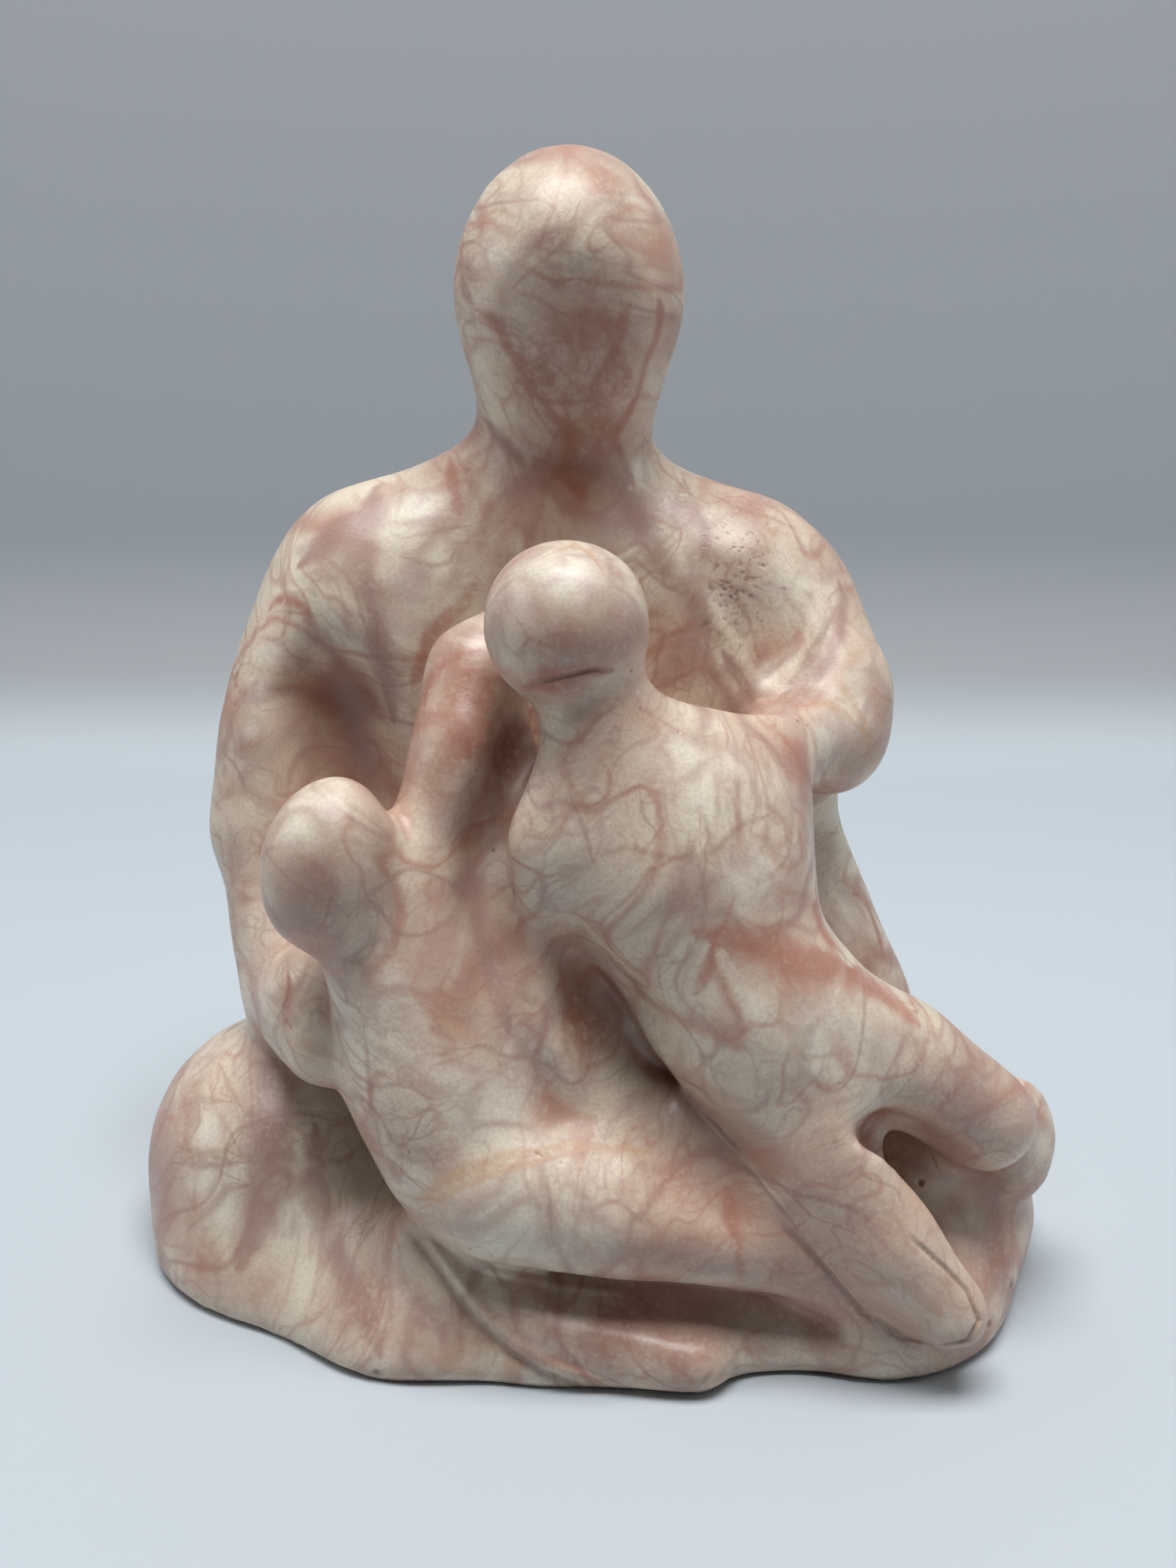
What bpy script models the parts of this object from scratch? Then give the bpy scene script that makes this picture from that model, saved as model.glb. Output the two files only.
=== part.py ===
"""Family group: a seated grown figure with two children climbing over its lap, one block of alabaster.

Metres, +Z up. The carving faces -Y, with +X on the viewer's right, and the origin is the middle of
its flat underside. Every joint and mass below is in millimetres on the carving at its real height,
so the pose and all its proportions follow HEIGHT.
"""

import math

import bmesh
import bpy
from mathutils import Vector

HEIGHT = 0.300  # underside to the crown of the grown figure
REAL_HEIGHT_MM = 300.0  # the height at which the joints and masses below are stated
MM = HEIGHT / REAL_HEIGHT_MM

GRAIN = 2.6 * MM  # spacing of the samples that the surface is taken from
MARGIN = 8.0 * MM  # free space kept round the block
FACETS = 9600  # triangles of the finished solid
POLISH_ROUNDS = 6  # passes of the polishing stone
UNDERSIDE_EDGE = 4.0 * MM  # how softly the sides turn under to the flat underside
STONE_COLOUR = (0.79, 0.66, 0.60, 1.0)
STONE_ROUGHNESS = 0.42

# The block that the figures are carved from: (left, right), (front, back), (under, top).
BLOCK_X = (-140.0, 140.0)
BLOCK_Y = (-112.0, 75.0)
BLOCK_Z = (0.0, 301.0)

# A joint is (x, y, z, radius), and a run of joints is a limb. A mass is an ellipsoid: its centre, its
# half width, half depth and half height, and its turns about X, Y and Z in degrees. Each first number
# is how softly the form melts into what its figure has already.
GROWN_UP = {
    "masses": {
        "skull": (0, (-5.5, 19, 266.7), (29.5, 33, 34), (0, 0, 0)),
        "ribs": (24, (-8, 28, 146), (82, 31, 60), (0, 0, 0)),
        "left_shoulder": (22, (-59, 25, 154), (38.5, 29, 56), (0, 0, 0)),
        "right_shoulder": (22, (40, 25, 157), (39.5, 31, 51), (0, 0, 0)),
        "hips": (24, (-6, 26, 72), (84, 34, 62), (0, 0, 0)),
        "belly": (20, (4, -20, 76), (60, 38, 50), (0, 0, 0)),
        "seat": (18, (0, -20, 0), (120, 75, 38), (0, 0, 0)),
        "left_thigh": (16, (-86.5, -14, 20), (43, 44, 43), (0, 0, 0)),
        "left_hand": (16, (-71, -42, 86), (11, 14, 13), (0, 0, 0)),
        "left_knee": (14, (-80, -32, 3), (43, 37, 28), (0, 0, 0)),
        "front_of_ground": (12, (-46, -51, 4), (36, 42, 19), (0, 0, 0)),
        "right_thigh": (16, (97, -26, 13), (31, 36, 28), (0, 0, 0)),
        "right_knee": (14, (76, -49, 6), (40, 44, 26), (0, 0, 0)),
        "under_right_leg": (12, (94, -36, 38), (20, 22, 24), (0, 0, 0)),
        "left_buttock": (24, (-44, 38, 24), (46, 30, 36), (0, 0, 0)),
        "right_buttock": (24, (40, 38, 24), (46, 30, 36), (0, 0, 0)),
    },
    "limbs": {
        "jaw": (16, [(-5.5, 18, 258, 28), (-6, 23, 238, 25)]),
        "neck": (8, [(-7, 26, 240, 21), (-9, 32, 200, 26)]),
        "left_trapezius": (20, [(-9, 31, 197, 26), (-60, 26, 184, 25)]),
        "neck_root": (12, [(-36, 30, 201, 18), (-9, 30, 209, 22), (18, 29, 198, 16)]),
        "right_trapezius": (20, [(-9, 31, 197, 26), (38, 25, 181, 24.5)]),
        "between_children": (20, [
            (-54, -20, 98, 22), (-32, -24, 110, 23), (18, -22, 120, 24),
            (44, -15, 78, 24),
        ]),
        "left_arm": (16, [
            (-67, 22, 172, 25), (-78, 17, 158, 20.5), (-87, 12, 140, 17.5),
            (-91.5, 6, 116, 16),
        ]),
        "left_forearm": (16, [
            (-91.5, 6, 116, 16), (-86.5, -6, 90, 14), (-84, -16, 74, 12),
            (-76, -38, 78, 11), (-69, -58, 76, 9),
        ]),
        "right_arm": (16, [(52, 22, 166, 28), (65, 4, 156, 18), (66, -4, 146, 15.5)]),
        "right_forearm": (10, [(66, -4, 147, 15), (49, -25, 149, 12.5)]),
        "right_flank": (20, [(51, 26, 110, 21.5), (73, 14, 52, 26.5)]),
        "left_shin": (4, [
            (-44, -66, 26, 10), (-32, -75, 20, 11.5), (-12, -82, 13, 12),
            (10, -86, 9, 11), (27, -90, 7, 9.5),
        ]),
    },
}
SMALL_CHILD = {
    "masses": {
        "head": (0, (-64, -65, 131), (16.4, 17, 22.8), (0, 14, 0)),
    },
    "limbs": {
        "neck": (8, [(-62, -62, 124, 13), (-54, -58, 110, 14)]),
        "trunk": (14, [
            (-46, -52, 112, 18), (-42, -56, 96, 22), (-37, -60, 74, 25),
            (-30, -66, 54, 24),
        ]),
        "raised_arm": (12, [
            (-40, -52, 120, 15), (-31, -40, 152, 13.5), (-29, -28, 170, 12),
            (-14, -18, 182, 9),
        ]),
        "web": (14, [(-22, -38, 150, 8), (-25, -46, 118, 10), (-18, -54, 84, 10)]),
        "lap": (16, [
            (-10, -58, 52, 24), (28, -64, 46, 20), (52, -76, 38, 14),
            (70, -82, 21, 10.5),
        ]),
        "beside_trunk": (10, [(-14, -58, 112, 12), (-9, -63, 92, 12), (4, -68, 72, 10)]),
        "thigh": (4, [
            (-23, -75, 50, 21), (8, -77, 45, 19.5), (38, -80, 36, 13),
            (62, -84, 26, 6),
        ]),
    },
}
BIG_CHILD = {
    "masses": {
        "head": (0, (-5.5, -52, 188), (20.5, 20.5, 20.5), (0, 0, 0)),
        "right_foot": (0, (114.5, -44, 42.5), (13, 14, 19), (0, 0, 0)),
        "chest": (12, (18, -50, 137), (38, 24, 26.5), (0, 0, 0)),
        "belly": (14, (29, -55, 122), (26, 22, 22), (0, 0, 0)),
        "hip": (14, (44, -62, 88), (26, 26, 26), (0, 0, 0)),
    },
    "limbs": {
        "neck": (3, [(-2, -51, 180, 13), (2, -53, 164, 14)]),
        "trunk": (16, [(8, -50, 150, 20), (20, -52, 126, 26), (35, -60, 100, 25)]),
        "right_arm": (14, [(27, -46, 146, 17), (46, -35, 148, 12.5)]),
        "left_arm": (8, [(0, -52, 150, 13), (-9, -57, 134, 13.5), (-10, -58, 124, 12)]),
        "right_leg": (10, [(50, -64, 88, 22), (78, -63, 77, 15.5), (103, -60, 58.5, 14)]),
        "left_leg": (8, [
            (48, -66, 84, 22), (59, -78, 59, 16.5), (72, -85, 41, 13.5),
            (90, -91, 22, 10),
        ]),
    },
}
# Forms taken out of the grown figure before the children are there.
PARENT_HOLLOWS = {
    "masses": {
        "face": (12, (-5.5, -33, 252), (44, 24, 32), (12, 0, 0)),
        "right_shoulder_facet": (8, (46, -21, 184), (26, 20, 26), (0, 0, 0)),
    },
    "limbs": {
        "spine": (18, [(-9, 82, 200, 16), (-9, 73, 156, 15), (-8, 76, 84, 16)]),
        "beside_left_arm": (20, [
            (-78, -12, 176, 5), (-71, -5, 154, 9), (-67, -7, 134, 10),
            (-65, -16, 112, 8),
        ]),
        "under_thigh": (6, [
            (-56, -77, 46, 5), (-34, -86, 36, 6), (-10, -90, 28, 6.5),
            (20, -92, 24, 6.5), (46, -90, 19, 5.5), (64, -87, 15, 4),
        ]),
    },
}
# Forms taken out of the lap and the small child before the big child is there.
LAP_HOLLOWS = {
    "masses": {},
    "limbs": {
        "valley": (9, [
            (-24, -70, 142, 6), (-22, -75, 124, 8), (-19, -84, 97, 8),
            (-2, -92, 73, 7), (19, -95, 57, 5),
        ]),
        "under_trunk": (9, [
            (-3, -71, 109, 9), (4, -73, 98, 13), (12, -78, 82, 13),
            (24, -86, 66, 9), (35, -91, 52, 6),
        ]),
        "beside_left_leg": (5, [
            (42, -99, 50, 4), (52, -100, 38, 6), (64, -101, 24, 6),
            (74, -102, 12, 5),
        ]),
    },
}
# Forms taken out at the end, between the limbs of the children.
LIMB_HOLLOWS = {
    "masses": {},
    "limbs": {
        "beside_raised_arm": (8, [(-12, -40, 170, 5), (-16, -46, 157, 6.5), (-21, -53, 145, 5)]),
        "beside_left_side": (6, [
            (-23, -54, 145, 5), (-26.5, -58, 135, 6), (-25.5, -63, 123, 6),
            (-22, -71, 109, 6), (-18, -83, 94, 5),
        ]),
        "beside_trunk_edge": (4, [
            (-3, -70, 112, 5), (6, -74, 98, 8), (15, -80, 83, 7),
            (26, -87, 66, 4),
        ]),
        "between_legs": (4, [
            (66.5, -87, 70, 3.5), (74, -79, 64.5, 7), (84, -76, 56, 8.5),
            (100, -80, 38, 11),
        ]),
    },
}
# The order of the work: each figure melts in with its own softness, and hollows are taken out between them.
WORK = (
    ("melt", 0, GROWN_UP),
    ("take", 0, PARENT_HOLLOWS),
    ("melt", 5, SMALL_CHILD),
    ("take", 0, LAP_HOLLOWS),
    ("melt", 4, BIG_CHILD),
    ("take", 0, LIMB_HOLLOWS),
)


def new_node(tree, kind, *values, **settings):
    """Adds a node, sets or links its inputs in order, and returns the output that holds its result."""
    made = tree.nodes.new(kind)
    for name, value in settings.items():
        setattr(made, name, value)
    for socket, value in zip(made.inputs, values):
        if isinstance(value, bpy.types.NodeSocket):
            tree.links.new(value, socket)
        else:
            socket.default_value = value
    return next(output for output in made.outputs if output.enabled)


def scalar(tree, operation, *values):
    return new_node(tree, "ShaderNodeMath", *values, operation=operation)


def vector(tree, operation, *values):
    return new_node(tree, "ShaderNodeVectorMath", *values, operation=operation)


def new_group(name, inputs):
    """A node group with these inputs, by name and type, and one output, the distance to a form."""
    tree = bpy.data.node_groups.new(name, "GeometryNodeTree")
    for title, kind in inputs:
        tree.interface.new_socket(title, in_out="INPUT", socket_type=kind)
    tree.interface.new_socket("Distance", in_out="OUTPUT", socket_type="NodeSocketFloat")
    ends = tree.nodes.new("NodeGroupInput"), tree.nodes.new("NodeGroupOutput")
    return tree, ends[0].outputs, ends[1].inputs[0]


def limb_group():
    """Distance to a round limb that tapers from one joint to the next."""
    tree, given, result = new_group("Limb", [
        ("Start", "NodeSocketVector"),
        ("End", "NodeSocketVector"),
        ("Start Radius", "NodeSocketFloat"),
        ("End Radius", "NodeSocketFloat"),
    ])
    place = tree.nodes.new("GeometryNodeInputPosition").outputs[0]
    reach = vector(tree, "SUBTRACT", place, given["Start"])
    bone = vector(tree, "SUBTRACT", given["End"], given["Start"])
    along = scalar(
        tree, "DIVIDE", vector(tree, "DOT_PRODUCT", reach, bone), vector(tree, "DOT_PRODUCT", bone, bone)
    )
    share = new_node(tree, "ShaderNodeClamp", along, 0.0, 1.0)
    off_bone = vector(tree, "SUBTRACT", reach, new_node(
        tree, "ShaderNodeVectorMath", bone, (0, 0, 0), (0, 0, 0), share, operation="SCALE"
    ))
    growth = scalar(tree, "SUBTRACT", given["End Radius"], given["Start Radius"])
    radius = scalar(tree, "MULTIPLY_ADD", growth, share, given["Start Radius"])
    tree.links.new(scalar(tree, "SUBTRACT", vector(tree, "LENGTH", off_bone), radius), result)
    return tree


def mass_group():
    """Distance to an ellipsoid, turned about its centre."""
    tree, given, result = new_group("Mass", [
        ("Centre", "NodeSocketVector"),
        ("Half Size", "NodeSocketVector"),
        ("Turn", "NodeSocketVector"),
    ])
    place = tree.nodes.new("GeometryNodeInputPosition").outputs[0]
    offset = vector(tree, "SUBTRACT", place, given["Centre"])
    turned = tree.nodes.new("ShaderNodeVectorRotate")
    turned.rotation_type = "EULER_XYZ"
    turned.invert = True
    tree.links.new(offset, turned.inputs["Vector"])
    tree.links.new(given["Turn"], turned.inputs["Rotation"])
    scaled = vector(tree, "DIVIDE", turned.outputs[0], given["Half Size"])
    steep = vector(tree, "DIVIDE", scaled, given["Half Size"])
    share = vector(tree, "LENGTH", scaled)
    rise = scalar(tree, "MULTIPLY", share, scalar(tree, "SUBTRACT", share, 1.0))
    tree.links.new(scalar(tree, "DIVIDE", rise, vector(tree, "LENGTH", steep)), result)
    return tree


def in_metres(point):
    return tuple(value * MM for value in point)


class Clay:
    """The growing form of one figure: limbs and masses melt into it."""

    def __init__(self, tree, groups):
        self.tree = tree
        self.groups = groups
        self.distance = None

    def form(self, name, *values):
        made = self.tree.nodes.new("GeometryNodeGroup")
        made.node_tree = self.groups[name]
        for socket, value in zip(made.inputs, values):
            socket.default_value = value
        return made.outputs[0]

    def forms_of(self, figure):
        """Each mass and each length of limb of a figure, as its softness and its distance."""
        for softness, centre, half_size, turn in figure["masses"].values():
            turn = tuple(math.radians(angle) for angle in turn)
            yield softness, self.form("Mass", in_metres(centre), in_metres(half_size), turn)
        for softness, joints in figure["limbs"].values():
            for start, end in zip(joints, joints[1:]):
                places = in_metres(start[:3]), in_metres(end[:3])
                yield softness, self.form("Limb", *places, start[3] * MM, end[3] * MM)

    def melt(self, distance, softness):
        if self.distance is None:
            self.distance = distance
        else:
            self.distance = scalar(self.tree, "SMOOTH_MIN", self.distance, distance, softness * MM)

    def add(self, figure):
        for softness, distance in self.forms_of(figure):
            self.melt(distance, softness)

    def take(self, figure):
        for softness, distance in self.forms_of(figure):
            outside = scalar(self.tree, "MULTIPLY", distance, -1.0)
            self.distance = scalar(self.tree, "SMOOTH_MAX", self.distance, outside, softness * MM)


def stone_material():
    stone = bpy.data.materials.new("pink_alabaster")
    stone.use_nodes = True
    shader = stone.node_tree.nodes["Principled BSDF"]
    shader.inputs["Base Color"].default_value = STONE_COLOUR
    shader.inputs["Roughness"].default_value = STONE_ROUGHNESS
    shader.inputs["Metallic"].default_value = 0.0
    return stone


def carving_tree():
    """The node tree that turns the joints and masses into one closed surface."""
    tree = bpy.data.node_groups.new("Carving", "GeometryNodeTree")
    tree.interface.new_socket("Geometry", in_out="OUTPUT", socket_type="NodeSocketGeometry")
    groups = {"Limb": limb_group(), "Mass": mass_group()}
    block = Clay(tree, groups)
    for task, softness, figure in WORK:
        if task == "take":
            block.take(figure)
            continue
        clay = Clay(tree, groups)
        clay.add(figure)
        block.melt(clay.distance, softness)
    place = tree.nodes.new("GeometryNodeInputPosition").outputs[0]
    height = new_node(tree, "ShaderNodeSeparateXYZ", place).node.outputs["Z"]
    under = scalar(tree, "MULTIPLY", height, -1.0)
    solid = scalar(tree, "SMOOTH_MAX", block.distance, under, UNDERSIDE_EDGE)
    density = scalar(tree, "MULTIPLY", solid, -1.0 / MM)
    low = [side[0] * MM - MARGIN for side in (BLOCK_X, BLOCK_Y, BLOCK_Z)]
    high = [side[1] * MM + MARGIN for side in (BLOCK_X, BLOCK_Y, BLOCK_Z)]
    counts = [round((top - bottom) / GRAIN) for bottom, top in zip(low, high)]
    volume = new_node(
        tree, "GeometryNodeVolumeCube",
        scalar(tree, "ADD", density, 1.0), 0.0, tuple(low), tuple(high), *counts,
    )
    mesher = tree.nodes.new("GeometryNodeVolumeToMesh")
    mesher.inputs["Threshold"].default_value = 1.0
    tree.links.new(volume, mesher.inputs["Volume"])
    out = tree.nodes.new("NodeGroupOutput")
    tree.links.new(mesher.outputs[0], out.inputs[0])
    return tree


def carve():
    """The carved figures as one mesh, polished, cut flat below, with the origin under its middle."""
    rough = bpy.data.objects.new("rough", bpy.data.meshes.new("rough"))
    bpy.context.scene.collection.objects.link(rough)
    rough.modifiers.new("Carving", "NODES").node_group = carving_tree()
    polish = rough.modifiers.new("Polish", "SMOOTH")
    polish.iterations = POLISH_ROUNDS
    bpy.context.view_layer.update()
    evaluated = rough.evaluated_get(bpy.context.evaluated_depsgraph_get())
    mesh = bpy.data.meshes.new_from_object(evaluated)
    bpy.data.objects.remove(rough)
    bm = bmesh.new()
    bm.from_mesh(mesh)
    foot = min(vert.co.z for vert in bm.verts) + 0.2 * MM
    cut = bmesh.ops.bisect_plane(
        bm, geom=bm.verts[:] + bm.edges[:] + bm.faces[:], plane_co=(0, 0, foot), plane_no=(0, 0, 1),
        clear_inner=True,
    )
    rim = [item for item in cut["geom_cut"] if isinstance(item, bmesh.types.BMEdge)]
    bmesh.ops.holes_fill(bm, edges=rim)
    low = Vector([min(vert.co[axis] for vert in bm.verts) for axis in range(3)])
    high = Vector([max(vert.co[axis] for vert in bm.verts) for axis in range(3)])
    middle = (low + high) / 2
    bmesh.ops.translate(bm, verts=bm.verts, vec=(-middle.x, -middle.y, -low.z))
    bmesh.ops.triangulate(bm, faces=bm.faces)
    bm.to_mesh(mesh)
    bm.free()
    return mesh


def main():
    for old in list(bpy.data.objects):
        bpy.data.objects.remove(old)
    collection = bpy.data.collections.new("family_group")
    bpy.context.scene.collection.children.link(collection)
    mesh = carve()
    group = bpy.data.objects.new("family_group", mesh)
    collection.objects.link(group)
    mesh.materials.append(stone_material())
    mesh.shade_smooth()
    facet = group.modifiers.new("Facets", "DECIMATE")
    facet.ratio = FACETS / len(mesh.polygons)


main()
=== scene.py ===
import math
import random

import bmesh
import bpy
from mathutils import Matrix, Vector, noise
from mathutils.bvhtree import BVHTree
from mathutils.kdtree import KDTree


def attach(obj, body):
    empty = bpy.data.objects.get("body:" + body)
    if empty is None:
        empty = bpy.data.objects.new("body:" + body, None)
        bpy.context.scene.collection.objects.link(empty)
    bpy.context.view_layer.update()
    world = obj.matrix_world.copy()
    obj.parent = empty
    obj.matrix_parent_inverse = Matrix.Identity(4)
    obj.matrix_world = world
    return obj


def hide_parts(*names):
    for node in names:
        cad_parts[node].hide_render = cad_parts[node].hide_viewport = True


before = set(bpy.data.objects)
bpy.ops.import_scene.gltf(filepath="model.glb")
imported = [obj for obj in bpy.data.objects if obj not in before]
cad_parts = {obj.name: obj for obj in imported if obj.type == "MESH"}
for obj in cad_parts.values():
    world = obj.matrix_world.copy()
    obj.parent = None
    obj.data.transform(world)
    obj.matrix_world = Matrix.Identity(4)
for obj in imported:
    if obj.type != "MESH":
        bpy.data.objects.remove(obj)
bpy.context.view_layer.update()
print("frame loaded")

# the camera of the photograph; every mark below is given as (x, y) in its 1500 x 2000 frame
camera = {
    "place": (0.00035, -0.4065, 0.2678),
    "tilt": 18.0,  # degrees below level
    "focal": 2000.0,  # in pixels of that frame
    "frame": (1500, 2000),
    "sensor": 36.0,  # in millimetres
    "nearest": 0.01,
}


def makeCamera():
    data = bpy.data.cameras.new("camera")
    data.sensor_width = camera["sensor"]
    data.lens = camera["sensor"] * camera["focal"] / max(camera["frame"])
    data.clip_start = camera["nearest"]
    viewer = bpy.data.objects.new("camera", data)
    viewer.location = camera["place"]
    viewer.rotation_euler = (math.radians(90 - camera["tilt"]), 0, 0)
    bpy.context.scene.collection.objects.link(viewer)
    bpy.context.scene.camera = viewer


def sightLine(x, y):
    tilt = math.radians(camera["tilt"])
    forward = Vector((0, math.cos(tilt), -math.sin(tilt)))
    upward = Vector((0, math.sin(tilt), math.cos(tilt)))
    width, height = camera["frame"]
    aim = forward * camera["focal"] + Vector((1, 0, 0)) * (x - width / 2) + upward * (height / 2 - y)
    return aim.normalized()


makeCamera()
print("camera placed")

carving = {
    "node": "family_group",
    "weld": 0.00002,
    "polish": (2, 10),  # every facet is cut into four twice; rounds of smoothing after each
    "foot": 0.0004,  # what lies lower than this is the flat underside
    "waver": ((55.0, 0.00030), (140.0, 0.00012)),  # unevenness of the hand polish: how fine, how deep
    "settle": 0.01,  # height over which that unevenness grows from the underside
}


def soften(mesh, points, rounds):
    axes = {"use_axis_x": True, "use_axis_y": True, "use_axis_z": True}
    for turn in range(rounds):
        bmesh.ops.smooth_vert(mesh, verts=points, factor=0.5, **axes)


def makeTriangles(mesh):
    bmesh.ops.triangulate(mesh, faces=[face for face in mesh.faces if len(face.verts) > 3])


def makeCarving():
    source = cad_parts[carving["node"]]
    stone = bmesh.new()
    stone.from_mesh(source.data)
    bmesh.ops.remove_doubles(stone, verts=stone.verts, dist=carving["weld"])
    for rounds in carving["polish"]:
        bmesh.ops.subdivide_edges(stone, edges=stone.edges, cuts=1, smooth=1.0, use_grid_fill=True)
        for point in stone.verts:
            if point.co.z < carving["foot"]:
                point.co.z = 0.0
        soften(stone, [point for point in stone.verts if point.co.z > carving["foot"]], rounds)
    makeTriangles(stone)
    bmesh.ops.recalc_face_normals(stone, faces=stone.faces)
    stone.normal_update()
    return stone


stone = makeCarving()
skin = BVHTree.FromBMesh(stone)
print("carving smoothed:", len(stone.faces), "faces")

# how lines are laid on the stone; lengths in pixels of the photograph
strokes = {
    "step": 4.0,
    "tip": 0.25,  # width at an end, as a share of the full width
    "oval": 16,  # points of an oval
    "swell": (1.5, 12),  # full width is reached this many widths, and this much more, from an end
}


def ring(x, y, width, height):
    # points of an oval in the photograph's frame
    count = strokes["oval"]
    turns = [math.radians(360 * step / count) for step in range(count + 1)]
    return [(x + width * math.cos(turn), y + height * math.sin(turn)) for turn in turns]


# broad soft bands, as (width in pixels, line)
bands = {
    "mauve": [
        (24, [
            (483, 617), (470, 656), (458, 688), (460, 726), (470, 758), (480, 802), (488, 847), (496, 885),
            (502, 925),
        ]),
        (20, [(381, 722), (413, 694), (439, 668), (464, 652)]),
        (14, [
            (390, 780), (406, 812), (429, 834), (438, 863), (441, 895), (454, 927), (457, 959), (473, 984),
        ]),
        (19, [(779, 592), (801, 643), (821, 675), (837, 713), (865, 745), (888, 777), (910, 806)]),
        (12, [(919, 828), (939, 857), (958, 885)]),
        (12, [(1069, 739), (1076, 764), (1072, 802), (1057, 841), (1034, 879)]),
        (38, [
            (322, 1270), (336, 1340), (345, 1376), (352, 1420), (350, 1470), (341, 1510), (330, 1548),
            (306, 1615),
        ]),
        (20, [(402, 1433), (402, 1510), (417, 1567), (440, 1624), (471, 1682), (486, 1732)]),
        (18, [(597, 1090), (603, 1150), (612, 1200), (636, 1260), (650, 1320)]),
        (12, [(586, 338), (592, 368), (607, 397)]),
        (12, [(616, 532), (639, 561), (663, 585), (671, 605)]),
        (12, [(786, 561), (795, 591), (809, 620)]),
    ],
    "rust": [
        (12, [
            (607, 397), (636, 415), (648, 444), (669, 476), (683, 503), (704, 529), (724, 550), (730, 591),
            (737, 630),
        ]),
        (26, [(722, 550), (728, 591), (742, 640)]),
        (9, [(803, 385), (789, 429), (777, 462), (759, 488), (748, 511)]),
        (9, [(713, 409), (736, 397), (765, 406), (783, 423), (789, 444)]),
        (9, [
            (839, 371), (842, 403), (836, 435), (824, 462), (815, 497), (803, 526), (786, 550), (783, 561),
            (792, 585),
        ]),
        (10, [(572, 579), (578, 614), (585, 649), (585, 668)]),
        (13, [(610, 739), (585, 777), (553, 802), (543, 831), (534, 853), (527, 879)]),
        (8, [(342, 780), (355, 764), (374, 766), (390, 780), (406, 809)]),
        (12, [(302, 845), (300, 885)]),
        (9, [(541, 911), (545, 872), (563, 849), (590, 836), (612, 828)]),
        (9, [(602, 917), (601, 968)]),
        (18, [(665, 880), (690, 872), (719, 864), (758, 856), (782, 855)]),
        (34, [
            (890, 1190), (951, 1204), (999, 1212), (1025, 1228), (1072, 1236), (1127, 1265), (1169, 1306),
        ]),
        (10, [(910, 1204), (900, 1242), (884, 1274)]),
        (9, [(365, 1235), (370, 1262), (362, 1300), (372, 1312)]),
        (12, [(925, 1510), (935, 1560), (945, 1610), (950, 1640)]),
        (9, [(1050, 1140), (1040, 1160), (1048, 1190), (1079, 1220)]),
        (9, [(1050, 1140), (1079, 1132), (1104, 1150), (1120, 1191), (1127, 1223)]),
        (14, [(1149, 1230), (1155, 1260), (1170, 1290)]),
    ],
}

# fine veins, as (width in pixels, line)
veins = {
    "brown": [
        (4, [(736, 268), (724, 306), (701, 324), (677, 344), (660, 362)]),
        (4, [(704, 274), (689, 303), (683, 333)]),
        (4, [(604, 394), (633, 406), (669, 426)]),
        (4, [(515, 617), (505, 662)]),
        (4, [(527, 684), (556, 678), (585, 673)]),
        (3, [(521, 713), (537, 719), (556, 723), (575, 716), (582, 700)]),
        (3, [(416, 713), (441, 732), (454, 758), (466, 800)]),
        (4, [(872, 608), (859, 649), (856, 681), (840, 697)]),
        (3, [(872, 608), (881, 637)]),
        (4, [(913, 633), (951, 652), (980, 659), (1009, 672)]),
        (3, [(833, 783), (856, 790), (878, 812), (888, 834), (884, 863), (878, 885)]),
        (3, [(833, 796), (852, 809), (865, 831), (865, 857), (858, 880)]),
        (4, [(900, 815), (910, 847), (913, 879), (907, 904)]),
        (5, [(1067, 777), (1041, 825), (1016, 866), (997, 895), (971, 904), (952, 892), (939, 866)]),
        (4, [(230, 1412), (253, 1402), (291, 1406)]),
        (4, [(253, 1414), (253, 1433), (245, 1448)]),
        (4, [(230, 1464), (257, 1471), (287, 1468), (302, 1452)]),
        (4, [(226, 1483), (257, 1487), (306, 1483)]),
        (5, [(245, 1565), (272, 1540), (291, 1517), (314, 1512)]),
        (4, [(283, 1364), (295, 1391), (306, 1410)]),
        (4, [(463, 1582), (482, 1556)]),
        (4, [(445, 1570), (462, 1545)]),
        (3, [(700, 1525), (704, 1578)]),
        (4, [(760, 1092), (801, 1080), (856, 1096), (913, 1086), (939, 1057), (983, 1038)]),
        (4, [(894, 1086), (897, 1127), (900, 1150)]),
        (3, [(817, 1016), (820, 1041), (833, 1057)]),
        (3, [(730, 1020), (745, 1060), (758, 1099)]),
        (4, [(465, 1317), (472, 1393), (486, 1462)]),
        (4, [(882, 1411), (944, 1480), (1011, 1562), (1069, 1637), (1118, 1695)]),
    ],
    "tan": [
        (6, [(536, 1525), (582, 1498), (639, 1475), (697, 1464), (760, 1462), (830, 1470)]),
        (5, [(540, 1540), (590, 1512), (650, 1490), (700, 1478)]),
        (6, [(555, 1297), (586, 1314), (610, 1321)]),
        (4, [(699, 708), (730, 696), (750, 704), (766, 727)]),
        (4, [(798, 720), (821, 751)]),
        (4, [(681, 1467), (723, 1458), (780, 1462)]),
        (4, [(812, 327), (824, 362), (833, 391)]),
        (6, [(1104, 825), (1082, 847), (1066, 866), (1082, 888), (1098, 917), (1108, 949), (1111, 971)]),
        (5, [(1034, 898), (1060, 898), (1079, 911), (1095, 930)]),
        (5, ring(612, 1732, 57, 20)),
        (5, ring(612, 1732, 36, 11)),
    ],
}

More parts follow.
